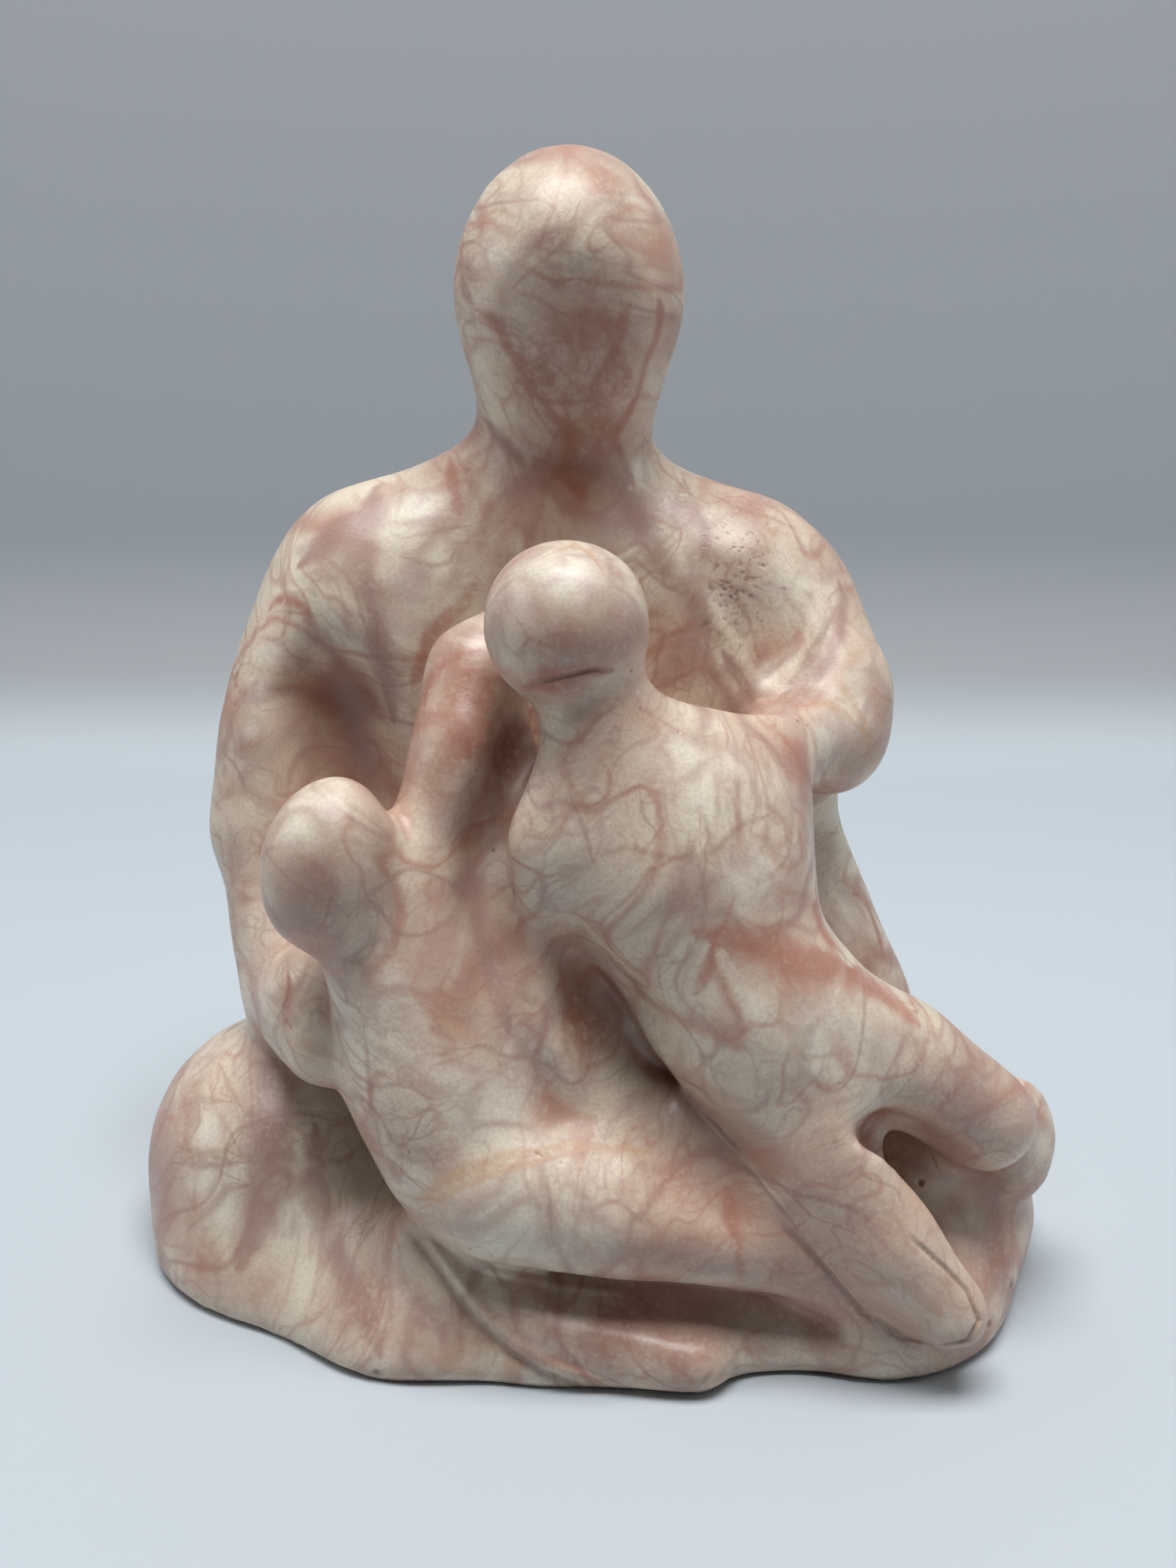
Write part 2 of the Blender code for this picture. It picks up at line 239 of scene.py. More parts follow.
# soft patches, as (x, y, radius in pixels, strength)
patches = {
    "pale": [
        # the pale patches on the left of the chest, x 500 to 560 and y 690 to 800, are cream islands made
        # stronger as painted light where the chest faces up
        (518, 790, 40, 1.0), (520, 740, 30, 0.9), (548, 800, 24, 0.8), (562, 697, 16, 0.8),
        (345, 830, 24, 0.8), (331, 880, 18, 0.8), (320, 930, 16, 0.7), (390, 695, 20, 0.8),
        (530, 640, 24, 0.6), (600, 640, 14, 0.5), (620, 380, 30, 0.5), (614, 500, 22, 0.6),
        (680, 250, 50, 0.3), (640, 330, 44, 0.7), (876, 965, 45, 0.8), (901, 1013, 35, 0.9),
        (930, 971, 26, 0.8), (958, 1118, 45, 0.8), (720, 1150, 46, 0.4), (640, 1555, 80, 0.7),
        (730, 1580, 70, 0.6), (905, 770, 26, 1.0), (880, 730, 22, 0.8), (1000, 640, 60, 0.6),
        (985, 865, 24, 1.0), (1010, 850, 20, 0.9), (1060, 940, 36, 0.9), (1090, 870, 24, 0.8),
        (257, 1357, 26, 0.8), (268, 1441, 26, 0.9), (257, 1502, 24, 0.8), (295, 1548, 22, 0.8),
        (368, 1548, 28, 1.0), (415, 1494, 14, 0.8), (422, 1645, 16, 0.7), (509, 1621, 34, 0.6),
        (640, 1430, 60, 0.7), (590, 1380, 40, 0.6), (520, 1330, 40, 0.4), (1047, 1300, 50, 0.8),
        (383, 1045, 50, 0.9), (710, 735, 60, 1.2), (560, 722, 26, 1.0), (500, 725, 30, 1.0),
        (540, 765, 36, 1.0), (1090, 905, 30, 1.0), (1085, 1170, 34, 1.0), (1000, 760, 40, 0.9),
        (495, 1280, 50, 0.5), (1140, 1475, 30, 0.8), (1180, 1520, 40, 0.9), (1230, 1560, 40, 0.6),
        (1330, 1463, 26, 0.7), (1079, 1178, 22, 0.8), (1180, 1600, 40, 0.3), (840, 640, 20, 0.6),
        (545, 960, 14, 0.5), (1120, 1350, 40, 0.3), (820, 600, 20, 0.8),
    ],
    "rust": [
        # the ones on the face plane, the neck front and beside the foot are partly painted shade over the
        # rust
        (824, 250, 30, 0.5), (740, 430, 60, 0.9), (770, 490, 60, 0.8), (680, 490, 50, 0.8),
        (760, 560, 50, 0.9), (735, 600, 50, 1.0), (700, 660, 50, 0.8), (640, 720, 40, 0.6),
        (590, 650, 40, 0.4), (560, 865, 20, 0.6), (569, 968, 30, 0.8), (610, 927, 36, 0.9),
        (635, 960, 40, 0.9), (620, 1010, 30, 0.8), (1008, 950, 30, 1.0), (1020, 985, 24, 0.8),
        (715, 825, 56, 0.8), (715, 866, 40, 1.2), (960, 1215, 40, 0.5), (1005, 1235, 44, 0.7),
        (1060, 1240, 40, 0.6), (830, 800, 50, 0.6), (860, 850, 50, 0.4), (655, 660, 40, 0.6),
        (620, 700, 40, 0.5), (417, 1114, 30, 0.6), (380, 1140, 34, 0.6), (253, 1613, 30, 0.9),
        (215, 1560, 24, 0.5), (330, 1650, 44, 0.6), (690, 1206, 40, 0.7), (742, 1310, 44, 0.9),
        (735, 1250, 40, 0.6), (940, 1530, 34, 0.35), (880, 1600, 34, 0.4), (1060, 1400, 24, 0.4),
        (1309, 1390, 26, 1.0), (575, 1342, 40, 0.3), (1276, 1588, 26, 0.5), (1085, 1563, 30, 0.4),
        (1143, 1579, 30, 0.4), (800, 925, 50, 0.4), (1149, 1249, 24, 0.5), (370, 1270, 24, 0.5),
        (480, 1650, 30, 0.3), (1000, 1500, 50, 0.3), (605, 875, 50, 1.3), (600, 940, 46, 1.2),
        (570, 1000, 30, 0.4), (600, 600, 44, 0.6), (560, 600, 34, 0.5), (690, 590, 50, 0.8),
        (845, 330, 44, 0.6), (850, 430, 44, 0.6), (740, 500, 60, 0.6), (640, 420, 40, 0.4),
        (296, 900, 30, 0.6), (288, 1010, 30, 0.5), (310, 1130, 34, 0.4), (345, 790, 30, 0.5),
        (1110, 1225, 50, 0.6), (1120, 900, 24, 0.5), (830, 1000, 40, 0.3), (760, 960, 46, 0.5),
        (760, 905, 30, 0.5), (700, 1000, 30, 0.4), (470, 1060, 24, 0.3), (400, 1200, 30, 0.6),
        (850, 1640, 40, 0.4), (800, 1690, 34, 0.5), (570, 1470, 30, 0.2), (1240, 1330, 34, 0.4),
        (1030, 1170, 40, 0.4), (205, 1440, 24, 0.4),
    ],
    "umberAndShade": [
        # the first five patches, on the face plane and the neck front, are partly painted shade over the
        # rust
        (740, 425, 40, 0.6), (700, 490, 44, 0.6), (735, 540, 50, 0.7), (738, 610, 46, 0.9),
        (790, 470, 30, 0.5), (600, 880, 36, 0.7), (640, 950, 46, 0.8), (600, 940, 30, 0.5),
        (715, 868, 26, 0.7), (735, 1240, 46, 0.6), (742, 1310, 40, 0.8), (1020, 965, 24, 0.4),
        (410, 1150, 34, 0.4), (430, 920, 34, 0.4), (790, 1330, 34, 0.4), (770, 1230, 30, 0.5),
        (1045, 1230, 24, 0.4), (945, 1560, 24, 0.4), (810, 1690, 24, 0.4), (640, 1040, 30, 0.4),
        # these, along the shin, foot and base front, are mostly painted shade over rosy stone
        (760, 1700, 60, 0.55), (870, 1735, 50, 0.5), (480, 1650, 60, 0.4), (1250, 1620, 60, 0.4),
        (600, 1690, 40, 0.4), (260, 1625, 50, 0.3), (990, 1335, 40, 0.25),
    ],
    "mauve": [
        # the patches low on the front, at y 1650 to 1740, are partly painted shade over rosy stone
        (430, 880, 50, 0.7), (400, 940, 50, 0.6), (470, 980, 40, 0.6), (620, 1150, 40, 0.5),
        (650, 1330, 50, 0.8), (710, 1380, 50, 0.6), (800, 1300, 60, 0.8), (870, 1420, 50, 0.7),
        (340, 1420, 40, 0.8), (450, 1470, 36, 0.6), (1180, 1370, 60, 0.5), (1240, 1420, 40, 0.7),
        (450, 1660, 50, 0.9), (540, 1690, 50, 0.9), (300, 1100, 40, 0.5), (290, 1200, 40, 0.5),
        (1000, 1720, 60, 0.4), (560, 480, 20, 0.4), (910, 1690, 60, 0.4), (700, 600, 40, 0.6),
        (640, 590, 30, 0.5), (660, 990, 40, 0.7), (1050, 1090, 30, 0.6), (940, 740, 60, 0.25),
        (820, 1200, 60, 0.25), (760, 1700, 60, 0.8), (690, 1690, 50, 0.8), (860, 1735, 46, 0.7),
        (590, 1690, 46, 0.7), (980, 1700, 46, 0.6), (1150, 1320, 60, 0.5), (1230, 1370, 50, 0.6),
        (1050, 1480, 40, 0.5), (1100, 1560, 40, 0.5), (380, 860, 40, 0.5), (330, 1240, 34, 0.5),
        (350, 1330, 36, 0.5), (600, 1250, 40, 0.5), (660, 1260, 40, 0.5), (900, 1480, 40, 0.5),
    ],
}

# small pits of the stone on the shoulder, scattered over an oval
pits = {
    "middle": (939, 739),
    "spread": (66, 84),  # half width and half height of the oval, in pixels
    "count": 260,
    "radius": (0.0003, 0.0007),
    "depth": 0.4,  # as a share of the radius
    "lean": (0.55, 0.83),  # the pits are drawn out this way across the photograph
}

# cuts and ridges in the stone: (width in pixels, depth in metres, line); a negative depth stands up
cuts = [
    (7, 0.0008, [(672, 877), (690, 871), (719, 864), (740, 858), (758, 854), (776, 856)]),
    (12, -0.0009, [(537, 1566), (572, 1612), (620, 1679), (660, 1712), (697, 1737), (764, 1760)]),
    (14, 0.0010, [(522, 1574), (557, 1622), (604, 1688), (648, 1726), (690, 1752), (756, 1776)]),
    (11, -0.0006, [(553, 1579), (620, 1618), (716, 1642), (800, 1650)]),
    (10, 0.0008, [(994, 1560), (1052, 1618), (1100, 1675), (1167, 1714)]),
    (7, 0.0008, [
        (1162, 1579), (1206, 1618), (1234, 1646), (1249, 1685), (1234, 1709), (1196, 1718), (1148, 1704),
    ]),
    (4, 0.0004, [(365, 1218), (369, 1250), (366, 1276), (352, 1304)]),
    (7, -0.0004, [(882, 1405), (944, 1472), (1011, 1554), (1069, 1629), (1118, 1687), (1172, 1716)]),
    (20, -0.0007, [
        (1050, 760), (1035, 815), (1010, 860), (987, 880), (965, 879), (949, 847), (923, 809), (885, 750),
    ]),
    (4, 0.0005, [(1186, 1470), (1196, 1492)]),
    (4, 0.0005, [(1170, 1500), (1176, 1514)]),
]

# single dents and chips: (x, y, radius in pixels, depth in metres)
chips = [
    (1019, 920, 5, 0.0006), (1030, 926, 3, 0.0004), (1174, 1509, 6, 0.0009), (806, 856, 4, 0.0003),
    (685, 1471, 3, 0.0005), (716, 1483, 2.5, 0.0004), (522, 1469, 2.5, 0.0004), (816, 904, 3, 0.0006),
    (865, 935, 3, 0.0006), (629, 1085, 3, 0.0005), (480, 1752, 8, 0.0008), (236, 1652, 7, 0.0007),
    (1262, 1690, 7, 0.0006), (1290, 1640, 6, 0.0005),
]

# finer facets where the relief needs them; lengths in metres
finer = {
    "levels": 2,
    "pit": 0.0018,
    "cut": 0.0022,
    "chip": 0.0026,
    "widest": 16,  # in pixels; the facets are fine enough for wider cuts
}

shaping = {
    "flank": 1.6,  # how far a cut's sides run out, in half widths
    "shade": 0.8,  # how dark the floor of a cut is beside that of a pit
    "smaller": (1.15, 0.5),  # size of a pit in the middle of the oval, and what it loses to the edge
    "second": (0.9, 0.8),  # each pit has a second beside it: how far off, in sizes, and how big
    "ragged": (0.3, 1.1),  # the oval's edge lies anywhere between these shares of it
    "seed": 11,
}


def landOn(x, y):
    place, normal, face, away = skin.ray_cast(Vector(camera["place"]), sightLine(x, y))
    return place, normal, away


def follow(line):
    # places on the stone along a line of the photograph, with the normal, the way along and the distance
    found = []
    for (ax, ay), (bx, by) in zip(line, line[1:]):
        count = max(1, round(math.hypot(bx - ax, by - ay) / strokes["step"]))
        for index in range(count + 1):
            share = index / count
            place, normal, away = landOn(ax + (bx - ax) * share, ay + (by - ay) * share)
            if place is not None:
                found.append((place, normal, away))
    marks = []
    for index, (place, normal, away) in enumerate(found):
        before = found[max(0, index - 1)][0]
        after = found[min(len(found) - 1, index + 1)][0]
        marks.append((place, normal, (after - before), away))
    return marks


def tapered(width, line):
    # the marks along a line, each with its half width in metres, narrower towards both ends
    marks = follow(line)
    last = len(marks) - 1
    widths, more = strokes["swell"]
    found = []
    for index, (place, normal, along, away) in enumerate(marks):
        fromEnd = min(index, last - index) * strokes["step"]
        share = strokes["tip"] + (1 - strokes["tip"]) * min(1.0, fromEnd / (widths * width + more))
        found.append((place, normal, along, share * width * away / camera["focal"] / 2))
    return found


def treeOf(places):
    tree = KDTree(max(1, len(places)))
    for index, place in enumerate(places):
        tree.insert(place, index)
    tree.balance()
    return tree


def refine(marks):
    # finer facets round the marks, given as (place, radius)
    tree = treeOf([place for place, radius in marks])
    for level in range(finer["levels"]):
        close = set()
        for point in stone.verts:
            place, index, away = tree.find(point.co)
            if away < marks[index][1]:
                close.add(point)
        edges = [edge for edge in stone.edges if edge.verts[0] in close and edge.verts[1] in close]
        bmesh.ops.subdivide_edges(stone, edges=edges, cuts=1, use_grid_fill=True)
        makeTriangles(stone)
    stone.normal_update()


def falloff(away, radius):
    return 1 - (away / radius) ** 2


def waverSurface():
    for point in stone.verts:
        if point.co.z > carving["foot"]:
            height = sum(noise.noise(point.co * fine) * deep for fine, deep in carving["waver"])
            point.co += point.normal * height * min(1.0, point.co.z / carving["settle"])


def scatterPits():
    random.seed(shaping["seed"])
    middle, spread = pits["middle"], pits["spread"]
    lean = Vector((pits["lean"][0], 0, -pits["lean"][1]))
    most, loss = shaping["smaller"]
    apart, share = shaping["second"]
    scattered = []
    while len(scattered) < pits["count"]:
        x, y = random.uniform(-1, 1), random.uniform(-1, 1)
        if math.hypot(x, y) < random.uniform(*shaping["ragged"]):
            place, normal, away = landOn(middle[0] + x * spread[0], middle[1] + y * spread[1])
            size = random.uniform(*pits["radius"]) * (most - loss * math.hypot(x, y))
            scattered.append((place, normal, size))
            scattered.append((place + lean * size * apart, normal, size * share))
    return scattered


def press(tree, points, dark, dent):
    # pushes a round dent into the stone, and darkens it
    centre, normal, radius, depth = dent
    for place, index, away in tree.find_range(centre, radius):
        share = falloff(away, radius)
        points[index].co -= normal * depth * share**2
        dark[index] = max(dark[index], share)


def carveLine(tree, points, dark, depth, marks):
    pushed = {}
    widest = max(half for place, normal, along, half in marks)
    for place, normal, along, half in marks:
        for spot, index, gap in tree.find_range(place, widest * shaping["flank"]):
            share = falloff(gap, widest * shaping["flank"]) ** 2 * half / widest
            if share > pushed.get(index, (0,))[0]:
                pushed[index] = (share, normal)
    for index, (share, normal) in pushed.items():
        points[index].co -= normal * depth * share
        if depth > 0:
            dark[index] = max(dark[index], share * shaping["shade"])


def carveRelief():
    # returns how much each point of the stone lies in a pit, a chip or a cut
    waverSurface()
    scattered = scatterPits()
    dents = [(place, normal, size, size * pits["depth"]) for place, normal, size in scattered]
    around = [(place, finer["pit"]) for place, normal, size in scattered]
    lines = [(width, depth, tapered(width, line)) for width, depth, line in cuts]
    for width, depth, marks in lines:
        if width < finer["widest"]:
            around += [(mark[0], finer["cut"]) for mark in marks]
    for x, y, radius, depth in chips:
        place, normal, away = landOn(x, y)
        if place is not None:
            dents.append((place, normal, radius * away / camera["focal"], depth))
            around.append((place, finer["chip"]))
    refine(around)
    print("stone refined:", len(stone.faces), "faces")
    points = list(stone.verts)
    tree = treeOf([point.co for point in points])
    dark = [0.0] * len(points)
    for dent in dents:
        press(tree, points, dark, dent)
    for width, depth, marks in lines:
        carveLine(tree, points, dark, depth, marks)
    stone.normal_update()
    return dark


pitted = carveRelief()
print("relief carved")

painting = {
    "farBand": 4.0,  # no band is felt further off, in half widths
    "farVein": 0.006,  # no vein is felt further off, in metres
    "nearest": 4,  # how many of the marks of the bands are asked at each place
    "patchSpread": 1.6,  # how far a patch fades out, in radii
    "turnedAway": -0.2,  # a patch doesn't reach stone that faces away more than this
    "hollowRounds": (12, 60),  # rounds of smoothing that show creases and hollows
}


def bandReach(marks, places):
    # how far each place is from the edge of the nearest band, in half widths of it, negative inside
    found = []
    for width, line in marks:
        found += [(place, half) for place, normal, along, half in tapered(width, line)]
    tree = treeOf([place for place, half in found])
    reach = []
    for place in places:
        near = tree.find_n(place, painting["nearest"])
        gaps = [away / found[index][1] - 1.0 for spot, index, away in near]
        reach.append(min([painting["farBand"]] + gaps))
    return reach


def veinSides(marks, places):
    # which side of the nearest vein each place is on, in half widths, and how far off it is, in metres
    found = []
    for width, line in marks:
        for place, normal, along, half in tapered(width, line):
            across = along.cross(normal)
            if across.length > 0:
                found.append((place, across.normalized(), half))
    tree = treeOf([place for place, across, half in found])
    sides, gaps = [], []
    for place in places:
        spot, index, away = tree.find(place)
        centre, across, half = found[index]
        sides.append((place - centre).dot(across) / half)
        gaps.append(min(painting["farVein"], away))
    return sides, gaps


def patchStrength(spots, places, normals):
    total = [0.0] * len(places)
    tree = treeOf(places)
    for x, y, radius, strength in spots:
        centre, facing, away = landOn(x, y)
        if centre is None:
            continue
        reach = radius * away / camera["focal"] * painting["patchSpread"]
        for place, index, gap in tree.find_range(centre, reach):
            if normals[index].dot(facing) > painting["turnedAway"]:
                total[index] = max(total[index], strength * falloff(gap, reach) ** 2)
    return total


def hollowness():
    # how much deeper than its surroundings each point lies, close by and further round, in metres
    worn = stone.copy()
    places = [point.co.copy() for point in stone.verts]
    normals = [point.normal.copy() for point in stone.verts]
    depths = []
    done = 0
    for count in painting["hollowRounds"]:
        soften(worn, worn.verts, count - done)
        done = count
        pairs = zip(worn.verts, places, normals)
        depths.append([(soft.co - place).dot(normal) for soft, place, normal in pairs])
    worn.free()
    return depths


def paintStone(mesh):
    places = [point.co.copy() for point in mesh.vertices]
    normals = [point.normal.copy() for point in mesh.vertices]
    layers = {"pitted": pitted}
    for name, marks in bands.items():
        layers[name + "Line"] = bandReach(marks, places)
    for name, marks in veins.items():
        layers[name + "Side"], layers[name + "Gap"] = veinSides(marks, places)
    for name, spots in patches.items():
        layers[name + "Patch"] = patchStrength(spots, places, normals)
    layers["crease"], layers["hollow"] = hollowness()
    viewer = Vector(camera["place"])
    ways = [(viewer - place).normalized() for place in places]
    layers["seen"] = [max(0.0, normal.dot(way)) for normal, way in zip(normals, ways)]
    for name, values in layers.items():
        mesh.attributes.new(name, "FLOAT", "POINT").data.foreach_set("value", values)


def finishCarving():
    mesh = bpy.data.meshes.new("familyGroup")
    stone.to_mesh(mesh)
    for face in mesh.polygons:
        face.use_smooth = True
    paintStone(mesh)
    stone.free()
    piece = bpy.data.objects.new("familyGroup", mesh)
    bpy.context.scene.collection.objects.link(piece)
    return piece


piece = finishCarving()
print("veins painted")

# alabaster; colours as red, green, blue from 0 to 255 as seen on a screen
hues = {
    "cream": (224, 213, 192),
    "milk": (236, 228, 210),
    "blush": (208, 184, 164),
    "mauve": (170, 137, 127),
    "rust": (178, 124, 106),
    "deepRust": (146, 86, 62),
    "tan": (200, 160, 126),
    "line": (156, 120, 104),
    "pit": (132, 108, 92),
}

middle = 0.5  # of what a noise gives

# how places are pushed about by noise: (scale, detail, distance in metres)
pushes = {
    "drift": (9.0, 2.0, 0.09),
    "swirl": (36.0, 2.0, 0.018),
    "thread": (26.0, 2.0, 0.02),
    "rusty": (30.0, 2.0, 0.02),
    "lace": (70.0, 2.0, 0.008),
}

# plain noises: (scale, detail)
noises = {
    "broken": (90.0, 3.0),
    "cloudy": (24.0, 3.0),
    "thread": (9.0, 1.0),
    "waver": (90.0, 3.0),
    "height": (700.0, 4.0),
}

# steps from one strength to another: (value at the start, value at the end), and the two strengths
# behind them where they aren't 0 and 1
steps = {
    "seen": (0.05, 0.45),
    "net": (0.07, -0.03),
    "netBroken": (0.25, 0.6, 0.5, 1.0),
    "meander": (0.32, 0.54),
    "thread": (0.0, 0.24, 0.30, 0.0),
    "hollow": (0.0001, 0.0018, 0.0, 0.85),
    "hollowCloudy": (0.3, 0.6, 0.55, 1.0),
    "crease": (0.0001, 0.0006, 0.0, 0.7),
    "islandAndLight": (0.0, 1.0),
    "islandAndLightBroken": (0.25, 0.55, 0.5, 1.0),
    "lace": (0.0, 0.16, 0.5, 0.0),
    "laceInside": (0.1, 0.6),
    "laceBroken": (0.3, 0.55),
    "patchBroken": (0.3, 0.6, 0.6, 1.0),
    "band": (1.7, -0.9, 0.0, 0.95),
    "bandBroken": (0.25, 0.6, 0.5, 1.0),
    "rim": (0.0, 0.5, 0.2, 0.0),
    "rimCloudy": (0.4, 0.6),
    "vein": (0.0, 4.2),
    "veinGap": (0.0018, 0.0034, 1.0, 0.0),
    "veinCloudy": (0.3, 0.55, 0.4, 1.0),
    "sugarCloudy": (0.35, 0.6),
}

# noises that go through a step at once: (scale, detail), then the step as above
patterns = {
    "blushed": (13.0, 3.0, 0.34, 0.66),
    "milky": (46.0, 3.0, 0.48, 0.72, 0.0, 0.6),
    "netWidth": (17.0, 2.0, 0.35, 0.7, -0.06, 0.11),
    "threaded": (26.0, 2.0, 0.50, 0.68),
    "rusty": (19.0, 4.0, 0.50, 0.70),
    "mottled": (260.0, 4.0, 0.30, 0.66, 0.6, 1.0),
    "grain": (1100.0, 3.0, 0.35, 0.7, 0.0, 0.2),
    "sugar": (620.0, 3.0, 0.52, 0.7),
    "scratch": (2600.0, 2.0, 0.64, 0.8),
    "scuffed": (40.0, 2.0, 0.4, 0.65),
    "rough": (60.0, 3.0, 0.3, 0.7, 0.31, 0.46),
}

# meandering veins: (scale, half width, strength, colour, seed, the pushed places that it follows)
meanders = [
    (15.0, 0.040, 0.78, "mauve", 0.0, "swirl"),
    (22.0, 0.030, 0.62, "rust", 0.7, "swirl"),
    (36.0, 0.030, 0.58, "mauve", 1.9, "drift"),
    (58.0, 0.036, 0.46, "rust", 3.1, "drift"),
    (80.0, 0.040, 0.34, "mauve", 4.3, "drift"),
    (120.0, 0.044, 0.28, "mauve", 5.7, "drift"),
]

markings = {
    "netScale": 21.0,
    "netStrength": (0.5, 0.2),  # everywhere, and what is added where the camera doesn't look
    "meanderTurn": (0.4, 0.8),
    "meanderStretch": (1.0, 0.45, 1.0),
    "meanderDetail": 1.0,
    "meanderGaps": 0.8,  # how coarse the gaps in a meander are beside the meander itself
    "threads": 26.0,  # how many threads run through the whole range of their noise
    "rusty": 0.5,
    "islandAndLight": 0.9,
    "laceScale": 52.0,
    "waver": (2.0, 2.4),  # how far the edge of a band strays, finely and broadly, in half widths
    "veinWaver": 2.0,  # the same for a fine vein
    "patch": 0.95,
    "umberAndShade": 0.8,
    "fine": (("brown", "line", 0.42), ("tan", "tan", 0.6)),  # fine veins, their colours and strengths
    "pit": 0.65,
    "sugar": 0.18,
}

polish = {
    "scratchTurns": ((0.3, 0.5, 0.2), (0.9, -0.4, 1.1)),
    "scratchStretch": (1.0, 0.07, 1.0),
    "scratch": 0.35,
    "scratchHeight": -0.5,
    "bump": 0.15,
    "bumpHeight": 0.0006,
    "glow": 0.15,  # how much light goes a little way into the stone
    "glowDepth": 0.005,
    "glowColour": (1.0, 0.5, 0.35),
    "bending": 1.52,  # of light by the stone
}


def linear(colour):
    # the usual curve from a screen's colour to light
    light = []
    for part in colour:
        share = part / 255
        light.append(share / 12.92 if share < 0.04045 else ((share + 0.055) / 1.055) ** 2.4)
    return (*light, 1.0)


class Nodes:
    # a short way to write a material's nodes
    def __init__(self, name):
        self.material = bpy.data.materials.new(name)
        self.material.use_nodes = True
        self.tree = self.material.node_tree
        self.tree.nodes.clear()

    def add(self, kind, links=(), **settings):
        node = self.tree.nodes.new(kind)
        for key, value in settings.items():
            if hasattr(node, key):
                setattr(node, key, value)
            else:
                node.inputs[key.replace("_", " ")].default_value = value
        for socket, source in dict(links).items():
            self.tree.links.new(source, node.inputs[socket])
        return node

    def fill(self, socket, value):
        if isinstance(value, (int, float, tuple)):
            socket.default_value = value
        else:
            self.tree.links.new(value, socket)

    def math(self, operation, *values):
        node = self.add("ShaderNodeMath", operation=operation)
        for socket, value in zip(node.inputs, values):
            self.fill(socket, value)
        return node.outputs[0]

    def both(self, *values):
        result = values[0]
        for value in values[1:]:
            result = self.math("MULTIPLY", result, value)
        return result

    def ridge(self, value):
        return self.math("ABSOLUTE", self.math("SUBTRACT", value, middle))

    def ramp(self, value, low, high, start=0.0, end=1.0):
        node = self.add("ShaderNodeMapRange", {"Value": value}, interpolation_type="SMOOTHSTEP")
        ends = {"From Min": low, "From Max": high, "To Min": start, "To Max": end}
        for socket, number in ends.items():
            node.inputs[socket].default_value = number
        return node.outputs[0]

    def blend(self, share, first, second):
        node = self.add("ShaderNodeMix", data_type="RGBA")
        for number, value in ((0, share), (6, first), (7, second)):
            self.fill(node.inputs[number], value)
        return node.outputs[2]

    def noise(self, where, scale, detail, part="Fac"):
        return self.add("ShaderNodeTexNoise", {"Vector": where}, Scale=scale, Detail=detail).outputs[part]

    def pattern(self, where, name):
        scale, detail, *step = patterns[name]
        return self.ramp(self.noise(where, scale, detail), *step)

    def cells(self, where, scale):
        links = {"Vector": where}
        settings = {"feature": "DISTANCE_TO_EDGE", "Scale": scale}
        return self.add("ShaderNodeTexVoronoi", links, **settings).outputs["Distance"]

    def attribute(self, name):
        return self.add("ShaderNodeAttribute", attribute_name=name).outputs["Fac"]

    def shifted(self, where, name):
        # the place, pushed about by noise
        scale, detail, distance = pushes[name]
        links = {0: self.noise(where, scale, detail, "Color")}
        push = self.add("ShaderNodeVectorMath", links, operation="SUBTRACT")
        push.inputs[1].default_value = (middle, middle, middle)
        scaled = self.add("ShaderNodeVectorMath", {0: push.outputs[0]}, operation="SCALE")
        scaled.inputs["Scale"].default_value = distance
        links = {0: where, 1: scaled.outputs[0]}
        return self.add("ShaderNodeVectorMath", links, operation="ADD").outputs[0]

    def stretched(self, where, turn, scale):
        mapping = self.add("ShaderNodeMapping", {"Vector": where})
        mapping.inputs["Rotation"].default_value = turn
        mapping.inputs["Scale"].default_value = scale
        return mapping.outputs[0]


# the next functions mix the stone's colour step by step: n makes the nodes, at holds the places and the
# shared noises, hue holds the colours, and colour is what is mixed so far


def mixGround(n, at, hue):
    # cream that clouds over to milk and blush
    colour = n.blend(n.pattern(at["drift"], "blushed"), hue["cream"], hue["blush"])
    return n.blend(n.pattern(at["swirl"], "milky"), colour, hue["milk"])


def mixNet(n, at, hue, colour):
    # a wide soft net round cream islands, its bands now broad, now gone
    usual, added = markings["netStrength"]
    unseen = n.math("SUBTRACT", 1.0, n.ramp(n.attribute("seen"), *steps["seen"]))
    strong = n.math("ADD", usual, n.both(unseen, added))
    wide = n.cells(at["swirl"], markings["netScale"])
    edge = n.math("SUBTRACT", wide, n.pattern(at["place"], "netWidth"))
    broken = n.ramp(at["broken"], *steps["netBroken"])
    return n.blend(n.both(n.ramp(edge, *steps["net"]), broken, strong), colour, hue["mauve"])


def mixMeanders(n, at, hue, colour):
    lean, roll = markings["meanderTurn"]
    detail = markings["meanderDetail"]
    for scale, half, most, name, seed, base in meanders:
        turned = n.stretched(at[base], (seed, lean + seed, roll), markings["meanderStretch"])
        own = n.add("ShaderNodeVectorMath", {0: turned})
        own.inputs[1].default_value = (seed, seed * 2, 1.0)
        level = n.ridge(n.noise(own.outputs[0], scale, detail))
        gaps = n.noise(own.outputs[0], scale * markings["meanderGaps"], detail)
        strong = n.both(n.ramp(level, 0.0, half, most, 0.0), n.ramp(gaps, *steps["meander"]))
        colour = n.blend(strong, colour, hue[name])
    return colour


def mixThreads(n, at, hue, colour):
    # combed threads inside the islands
    field = n.noise(n.shifted(at["drift"], "thread"), *noises["thread"])
    comb = n.ridge(n.math("FRACT", n.both(field, markings["threads"])))
    strong = n.both(n.ramp(comb, *steps["thread"]), n.pattern(at["place"], "threaded"))
    return n.blend(strong, colour, hue["mauve"])


